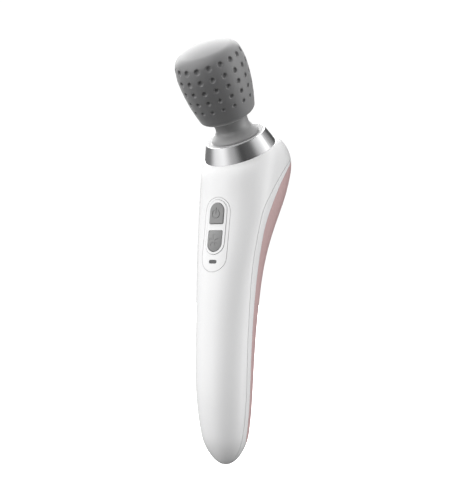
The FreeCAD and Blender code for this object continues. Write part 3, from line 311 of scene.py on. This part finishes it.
PAINT = {
    "white_shell": ("front_housing", "rear_housing"),
    # the lip gets the darker copy of the white plastic, a painted shade
    "lip_white_painted_shade": ("collar_base",),
    "panel_white": ("control_panel", "button_bezel"),
    "rose_shell": ("rear_cover",),
    "satin_chrome": ("collar_ring",),
    "dark_window": ("led_window", "status_led"),
    "head_silicone": ("head_cover", "drive_coupling"),
    "neck_silicone": ("neck_boot",),
    "key_rubber": ("power_button", "mode_button"),
    "black_plastic": ("neck_clamp", "head_core_lower", "head_core_upper", "motor_mount", "motor_end_cap",
                      "board_chips", "tact_switches", "charge_socket", "port_bezel"),
    "steel": ("neck_spring", "head_screws", "head_bearing_lower", "head_bearing_upper", "eccentric_shaft",
              "eccentric_weight", "motor_screws", "collar_screws", "motor_can", "motor_rotor", "board_screws",
              "battery_link", "housing_screws"),
    "magnet": ("motor_magnets",),
    "board": ("main_board",),
    "cell_sleeve": ("battery_lower", "battery_upper"),
    "brass": ("motor_terminals", "socket_pin"),
}


def finish(name, colour, rough, vary, grain, grain_depth, vary_scale=60, rough_vary=0.05, metallic=0.0,
           stretch=None, coat=0.0, sheen=0.0, specular=0.5):
    # colour and roughness wander slowly; a fine grain raises the surface
    material = bpy.data.materials.new(name)
    material.use_nodes = True
    tree = material.node_tree
    add, link = tree.nodes.new, tree.links.new
    shader = tree.nodes["Principled BSDF"]
    for socket, value in (("Metallic", metallic), ("Specular IOR Level", specular),
                          ("Coat Weight", coat), ("Coat Roughness", COAT_ROUGHNESS),
                          ("Sheen Weight", sheen), ("Sheen Roughness", SHEEN_ROUGHNESS)):
        shader.inputs[socket].default_value = value
    coords = add("ShaderNodeTexCoord")
    place = add("ShaderNodeMapping")
    link(coords.outputs["Object"], place.inputs["Vector"])
    if stretch:
        # brushed round the leaning axis
        place.inputs["Rotation"].default_value = (-math.acos(max(-1, min(1, UP.z))), 0, 0)
        place.inputs["Scale"].default_value = stretch
    slow = add("ShaderNodeTexNoise")
    slow.inputs["Scale"].default_value = vary_scale
    slow.inputs["Detail"].default_value = 4
    link(coords.outputs["Object"], slow.inputs["Vector"])
    ramp = add("ShaderNodeValToRGB")
    darker = [max(0, c * (1 - vary)) for c in colour]
    lighter = [min(1, c * (1 + vary)) for c in colour]
    for element, position, shade in zip(ramp.color_ramp.elements, (0.3, 0.7), (darker, lighter)):
        element.position = position
        element.color = (*shade, 1)
    link(slow.outputs["Fac"], ramp.inputs[0])
    link(ramp.outputs["Color"], shader.inputs["Base Color"])
    fine = add("ShaderNodeTexNoise")
    fine.inputs["Scale"].default_value = grain
    fine.inputs["Detail"].default_value = 6
    link(place.outputs[0], fine.inputs["Vector"])
    span = add("ShaderNodeMapRange")
    span.inputs["From Min"].default_value, span.inputs["From Max"].default_value = 0.3, 0.7
    span.inputs["To Min"].default_value = max(0.02, rough - rough_vary)
    span.inputs["To Max"].default_value = min(1.0, rough + rough_vary)
    link(fine.outputs["Fac"], span.inputs["Value"])
    link(span.outputs[0], shader.inputs["Roughness"])
    bump = add("ShaderNodeBump")
    bump.inputs["Strength"].default_value = 1.0
    bump.inputs["Distance"].default_value = grain_depth
    link(fine.outputs["Fac"], bump.inputs["Height"])
    link(bump.outputs[0], shader.inputs["Normal"])
    return material


def paint_nodes(materials):
    for material, names in PAINT.items():
        for name in names:
            mesh = nodes[name].data
            mesh.materials.clear()
            mesh.materials.append(materials[material])


# --------------------------------------------------------------------------------------
# Mesh helpers
# --------------------------------------------------------------------------------------
def make_object(name, points, faces, material):
    mesh = bpy.data.meshes.new(name)
    mesh.from_pydata([tuple(p) for p in points], [], faces)
    mesh.materials.append(material)
    mesh.polygons.foreach_set("use_smooth", [True] * len(mesh.polygons))
    mesh.update()
    mesh.validate()
    obj = bpy.data.objects.new(name, mesh)
    bpy.context.scene.collection.objects.link(obj)
    return obj


def arc(a, b, radius, step):
    # points from a to b on a circle, about a step apart; positive radius keeps the centre on the left
    a, b = np.array(a, float), np.array(b, float)
    half = np.linalg.norm(b - a) / 2
    left = np.array([-(b - a)[1], (b - a)[0]]) / (2 * half)
    centre = (a + b) / 2 + left * math.copysign(math.sqrt(max(radius * radius - half * half, 0)), radius)
    start = math.atan2(*(a - centre)[::-1])
    end = math.atan2(*(b - centre)[::-1])
    if radius > 0 and end < start:
        end += 2 * math.pi
    if radius < 0 and end > start:
        end -= 2 * math.pi
    count = max(2, int(round(abs((end - start) * radius) / step)))
    t = np.linspace(start, end, count + 1)
    return centre + abs(radius) * np.stack([np.cos(t), np.sin(t)], axis=1)


def join_profile(pieces):
    # one line from pieces that follow each other, without the doubled points
    line = [pieces[0][0]]
    for piece in pieces:
        line += [q for q in piece if np.linalg.norm(q - line[-1]) > 1e-6]
    return np.array(line)


def revolved(name, profile, count, material, place, shape=None, closed=False):
    # profile rows are (radius, height) in millimetres; points with radius 0 close a pole
    angles = 2 * math.pi * np.arange(count) / count
    rings = []
    points = []
    for i, (r, h) in enumerate(profile):
        if r < 1e-6:
            rings.append([len(points)])
            points.append(place(0, 0, h))
            continue
        rings.append(list(range(len(points), len(points) + count)))
        for a in angles:
            points.append(place(*shape(i, r, h, a)) if shape else place(r, a, h))
    faces = []
    following = rings[1:] + rings[:1] if closed else rings[1:]
    for lower, upper in zip(rings, following):
        for k in range(count):
            j = (k + 1) % count
            if len(lower) == 1 and len(upper) == 1:
                continue
            if len(lower) == 1:
                faces.append((lower[0], upper[j], upper[k]))
            elif len(upper) == 1:
                faces.append((lower[k], lower[j], upper[0]))
            else:
                faces.append((lower[k], lower[j], upper[j], upper[k]))
    return make_object(name, points, faces, material)


# --------------------------------------------------------------------------------------
# Head cover with its rows of dimples
# --------------------------------------------------------------------------------------
DIMPLE_ROWS = [(30.0, 1.5), (37.8, 1.7), (45.8, 1.85), (54.0, 2.0), (62.4, 2.1)]    # height and radius
DIMPLE_COUNT = 18                                   # in each row
DIMPLE_PHASE = math.radians(4.0)
DIMPLE_DEPTH = 1.65                                 # of a dimple 2 mm in radius; smaller ones are shallower
SEGMENTS_PER_DIMPLE = 30
DIMPLED_HEIGHTS = (25, 66)
DIMPLED_RADIUS = 20                                 # inside this the cover is plain


def dimple_depth(radius, height, angle):
    # a bowl with a rounded edge, in millimetres
    pitch = 2 * math.pi / DIMPLE_COUNT
    sink = 0.0
    for row_height, size in DIMPLE_ROWS:
        up = height - row_height
        if abs(up) > size * 1.5:
            continue
        along = ((angle - DIMPLE_PHASE + pitch / 2) % pitch - pitch / 2) * radius
        rho = math.hypot(up, along) / size
        if rho < 1.3:
            bowl = max(0.0, 1 - rho * rho) ** 0.5
            edge = 1 / (1 + math.exp((rho - 0.86) * 16))
            sink = DIMPLE_DEPTH * size / 2.0 * edge * (0.55 + 0.45 * bowl)
    return sink


def head_skin(material):
    outer = join_profile([
        np.array([(14.6, 18.0), (14.6, 16.7)]),
        np.array([(14.6, 16.7), (15.6, 16.6), (17.6, 16.6)]),
        arc((17.6, 16.6), (21.5, 21.0), 4.9, 0.4),
        arc((21.5, 21.0), (26.05, 53.5), 119.7, 0.35),
        arc((26.05, 53.5), (24.8, 62.6), 60.5, 0.35),
        arc((24.8, 62.6), (18.47, 70.11), 10.5, 0.3),
        arc((18.47, 70.11), (0.0, 73.7), 49.3, 0.8),
    ])
    inner = join_profile([
        arc((0.0, 71.3), (18.5, 67.5), -46.9, 3.0),
        arc((18.5, 67.5), (22.5, 62.0), -11.2, 1.5),
        arc((22.5, 62.0), (23.65, 53.5), -60.0, 4.0),
        arc((23.65, 53.5), (19.2, 21.8), -118.0, 5.0),
        np.array([(19.2, 21.8), (18.0, 18.0), (14.6, 18.0)]),
    ])
    # both poles lie exactly on the axis
    outer[-1, 0] = 0.0
    inner[0, 0] = 0.0
    slope = np.gradient(outer, axis=0)
    slope /= np.maximum(np.linalg.norm(slope, axis=1, keepdims=True), 1e-9)

    def dimpled(i, r, h, angle):
        low, high = DIMPLED_HEIGHTS
        if i < len(outer) and low < h < high and r >= DIMPLED_RADIUS:
            # sinks square to the surface
            sink = dimple_depth(r, h, angle)
            r, h = r - sink * slope[i][1], h + sink * slope[i][0]
        return r, angle, h

    # the hidden ring inside the rim, from the last point back to the first, is left open
    profile = np.vstack([outer, inner[:-1]])
    skin = revolved("head_skin", profile, DIMPLE_COUNT * SEGMENTS_PER_DIMPLE, material, on_head, dimpled)
    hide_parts("head_cover")
    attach(skin, "head")


# --------------------------------------------------------------------------------------
# Neck boot, in two sleeves that meet at the pivot
# --------------------------------------------------------------------------------------
BOOT_SEGMENTS = 128
BOOT_WALL = 1.5


def neck_boot(material):
    # a bell that stands on the collar's lip, narrows to a waist and opens again under the head
    outer = join_profile([
        np.array([(14.6, -0.56), (17.3, -0.55)]),
        arc((17.3, -0.55), (18.0, 0.15), 0.7, 0.12),
        arc((18.0, 0.15), (17.4, 1.65), 2.2, 0.2),
        np.array([(17.4, 1.65), (15.85, 3.27), (14.3, 4.9)]),
        arc((14.3, 4.9), (12.68, 8.5), -5.8, 0.25),
        arc((12.68, 8.5), (12.6, 9.5), -9.0, 0.25),
        arc((12.6, 9.5), (14.3, 16.0), -13.3, 0.4),
    ])
    radius = float(np.interp(PIVOT_HEIGHT, outer[:, 1], outer[:, 0]))
    cut = int(np.searchsorted(outer[:, 1], PIVOT_HEIGHT))
    split_outer, split_inner = (radius, PIVOT_HEIGHT), (radius - BOOT_WALL, PIVOT_HEIGHT)
    lower_inner = [(12.0, 5.6), (13.2, 3.86), (14.6, 2.4), (14.6, 0.8)]
    upper_inner = [(14.35, 17.2), (14.35, 18.05), (17.4, 18.1), (17.5, 18.3), (17.5, 20.0), (12.4, 20.1),
                   (12.3, 16.5), (11.5, 13.5), (11.1, 10.0)]
    low = [*outer[:cut], split_outer, split_inner, *lower_inner]
    high = [split_outer, *outer[cut:], *upper_inner, split_inner]
    lower = revolved("neck_boot_lower", low, BOOT_SEGMENTS, material, on_boot, closed=True)
    upper = revolved("neck_boot_upper", high, BOOT_SEGMENTS, material, on_boot, closed=True)
    for sleeve in (lower, upper):
        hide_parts("neck_boot")
    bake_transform(lower)
    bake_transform(upper)


# --------------------------------------------------------------------------------------
# Keys with engraved signs
# --------------------------------------------------------------------------------------
KEY_HALF, KEY_LENGTH, KEY_CORNER = 6.1, 15.2, 0.9   # half the width, the length, the corners' radius
KEY_SEGMENTS = 300
KEY_DEPTH = 3.6                                     # of the closed underside below the face
RIM_RADIUS = 0.4                                    # rounding of the face's edge
ENGRAVING = 0.4
RIM_RINGS, FIELD_RINGS, FIELD_SHARE = 15, 64, 0.84  # the rim's rings lie closer together
RAY_START = 0.03                                    # metres outside the node's middle


def key_outline(arch_up, count):
    # even points round an arch over a square end, middle at (0, 0), in millimetres
    w, half, r = KEY_HALF, KEY_LENGTH / 2, KEY_CORNER
    side = half - w
    line = join_profile([
        np.array([(0.0, -half), (w - r, -half)]),
        arc((w - r, -half), (w, -half + r), r, 0.1),
        np.array([(w, -half + r), (w, side)]),
        arc((w, side), (-w, side), w * 1.00001, 0.1),
        np.array([(-w, side), (-w, -half + r)]),
        arc((-w, -half + r), (-w + r, -half), r, 0.1),
        np.array([(-w + r, -half), (0.0, -half)]),
    ])
    lengths = np.concatenate([[0], np.cumsum(np.linalg.norm(np.diff(line, axis=0), axis=1))])
    spots = np.linspace(0, lengths[-1], count, endpoint=False)
    even = np.stack([np.interp(spots, lengths, line[:, k]) for k in (0, 1)], axis=1)
    if not arch_up:
        even = even[::-1] * np.array([1, -1])
    return even


def stroke(distance, width):
    # 1 inside a line of that width, falling off softly
    return 1 - smoothstep(width / 2 - 0.1, width / 2 + 0.14, distance)


def power_sign(x, y):
    # a ring, open at the top, and a bar
    radius, gap = 3.2, 34
    angle = np.degrees(np.arctan2(x, y))
    ring = np.where(np.abs(angle) > gap, np.abs(np.hypot(x, y) - radius), 9.0)
    for s in (-1, 1):
        end = (radius * math.sin(math.radians(gap * s)), radius * math.cos(math.radians(gap)))
        ring = np.minimum(ring, np.hypot(x - end[0], y - end[1]))
    bar = np.hypot(x, y - np.clip(y, 0.2, 4.2))
    return stroke(np.minimum(ring, bar), 0.75)


def petal_sign(x, y):
    # five drops, wider at their outer ends
    start, end = 1.4, 3.5
    best = np.full_like(x, 9.0)
    for k in range(5):
        a = math.radians(72 * k)
        u = x * math.sin(a) + y * math.cos(a)
        v = x * math.cos(a) - y * math.sin(a)
        reach = np.clip((u - start) / (end - start), 0, 1)
        best = np.minimum(best, np.hypot(u - np.clip(u, start, end), v) - 0.25 - 0.7 * reach)
    return 0.65 * (1 - smoothstep(-0.12, 0.14, best))


def face_height(tree, middle, x, y):
    # how far outside the node's middle its surface lies there, in millimetres, or None
    start = middle + SIDE * (x * MM) + PANEL_UP * (y * MM) + OUTWARD * RAY_START
    hit = tree.ray_cast(start, INWARD)[0]
    return None if hit is None else (hit - middle).dot(OUTWARD) / MM


def fit_face(tree, middle):
    # the face as a smooth quadratic: a + b x^2 + c y + d y^2
    terms, heights = [], []
    for x in np.linspace(-4.6, 4.6, 9):
        for y in np.linspace(-5.4, 5.4, 9):
            height = face_height(tree, middle, x, y)
            if height is not None:
                terms.append((1, x * x, y, y * y))
                heights.append(height)
    return np.linalg.lstsq(np.array(terms), np.array(heights), rcond=None)[0]


def face_middle(tree, middle):
    # how far up the panel the face's middle lies from the node's middle, in millimetres
    face_drop = 2.2                                 # the node's flange lies lower than this
    found = [(y, face_height(tree, middle, 0, y)) for y in np.linspace(-10, 10, 201)]
    found = [(y, h) for y, h in found if h is not None]
    top = max(h for y, h in found)
    ys = [y for y, h in found if h > top - face_drop]
    return (min(ys) + max(ys)) / 2


def distance_to_outline(points, outline):
    nearest = np.full(len(points), 1e9)
    following = np.roll(outline, -1, axis=0)
    for a, b in zip(outline, following):
        d = b - a
        t = np.clip(((points - a) @ d) / max(d @ d, 1e-12), 0, 1)
        nearest = np.minimum(nearest, np.hypot(*(points - (a + t[:, None] * d)).T))
    return nearest


def key(name, body, arch_up, sign, sign_shift, material):
    node = nodes[name]
    tree = BVHTree.FromPolygons([v.co for v in node.data.vertices],
                                [tuple(p.vertices) for p in node.data.polygons])
    low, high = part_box(name)
    middle = (low + high) / 2
    fit = fit_face(tree, middle)
    shift = face_middle(tree, middle)
    count = KEY_SEGMENTS
    outline = key_outline(arch_up, count)
    # rings from the rim to the middle, and the middle point
    rim = 1 - (1 - FIELD_SHARE) * np.linspace(0, 1, RIM_RINGS) ** 1.2
    field = np.linspace(FIELD_SHARE, 0, FIELD_RINGS)[1:-1]
    shares = np.concatenate([rim, field])
    flat = np.vstack([outline * share for share in shares] + [np.zeros((1, 2))])
    x, y = flat[:, 0], flat[:, 1]
    height = fit[0] + fit[1] * x * x + fit[2] * y + fit[3] * y * y
    inset = np.clip(distance_to_outline(flat, outline) / RIM_RADIUS, 0, 1)
    height = height - RIM_RADIUS * (1 - np.sqrt(np.clip(1 - (1 - inset) ** 2, 0, 1)))
    height = height - ENGRAVING * sign(x, y - sign_shift)

    def at(across, up, out):
        return middle + SIDE * (across * MM) + PANEL_UP * ((up + shift) * MM) + OUTWARD * (out * MM)

    points = [at(*spot) for spot in zip(x, y, height)]
    following = [(k + 1) % count for k in range(count)]
    faces = []
    for i in range(len(shares) - 1):
        a, b = i * count, (i + 1) * count
        faces += [(a + k, a + j, b + j, b + k) for k, j in enumerate(following)]
    centre = len(shares) * count
    last_ring = centre - count
    faces += [(last_ring + k, last_ring + j, centre) for k, j in enumerate(following)]
    # side wall, down into the housing, and a closed underside
    wall = len(points)
    points += [at(*spot, fit[0] - KEY_DEPTH) for spot in outline]
    faces += [(wall + k, wall + j, j, k) for k, j in enumerate(following)]
    faces.append(tuple(range(wall + count - 1, wall - 1, -1)))
    skin = make_object(name.replace("button", "key"), points, faces, material)
    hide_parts(name)
    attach(skin, body)


# --------------------------------------------------------------------------------------
# Build
# --------------------------------------------------------------------------------------
make_camera()
make_world()
make_floor()
materials = {name: finish(name, **look) for name, look in LOOKS.items()}
paint_nodes(materials)
head_skin(materials["head_silicone"])
neck_boot(materials["neck_silicone"])
key("power_button", "power_key", True, power_sign, -0.6, materials["key_rubber"])
key("mode_button", "mode_key", False, petal_sign, 0.0, materials["key_rubber"])

scene = bpy.context.scene
scene.view_settings.view_transform = "Standard"
scene.view_settings.look = "None"
